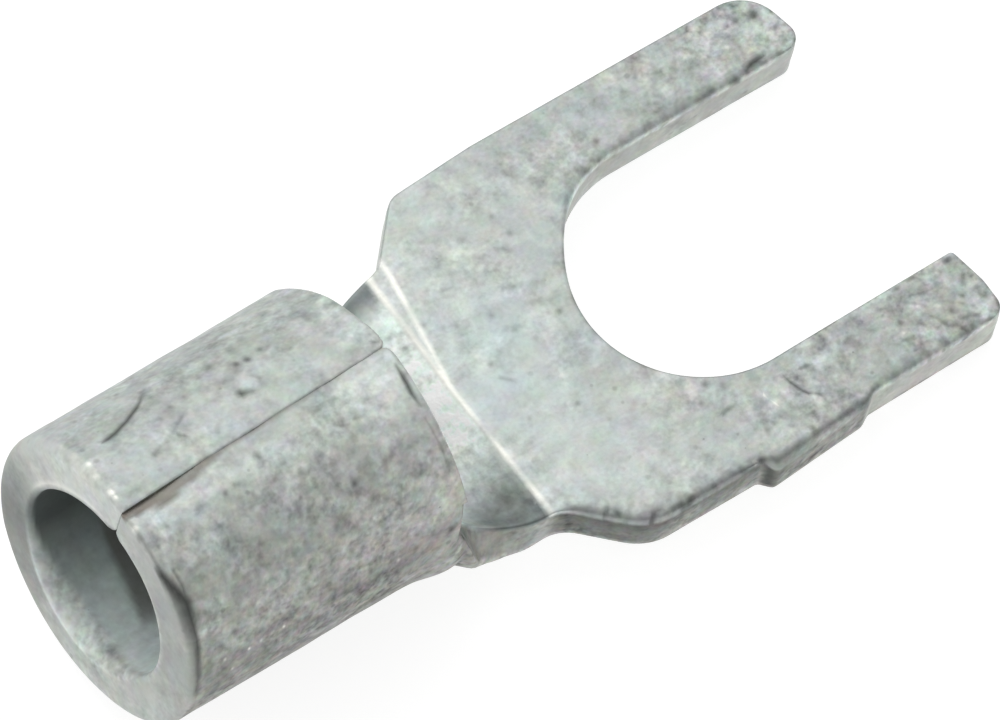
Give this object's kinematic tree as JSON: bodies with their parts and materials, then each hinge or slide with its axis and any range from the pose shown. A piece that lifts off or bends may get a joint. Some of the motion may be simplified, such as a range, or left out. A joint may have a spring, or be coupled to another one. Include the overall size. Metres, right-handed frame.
{
  "type": "fork terminal",
  "caption": "Bare tin-plated crimp fork terminal: a rolled wire barrel with a butt seam, a stepped trough neck and a flat forked tongue that slips under a screw head.",
  "frame": {"origin": "on the stud axis, the centre of the slot's round end, on the tongue's underside", "axes": "+X from the wire barrel to the prong tips, +Z along the stud axis towards the seam side of the barrel, so the tongue lies flat in XY"},
  "size_m": [0.0187, 0.0087, 0.0061],
  "materials": {
    "tinned_copper": "satin tin plating, mottled, over stamped copper sheet"
  },
  "bodies": {
    "root": {"fork_terminal": "tinned_copper"}
  },
  "joints": []
}
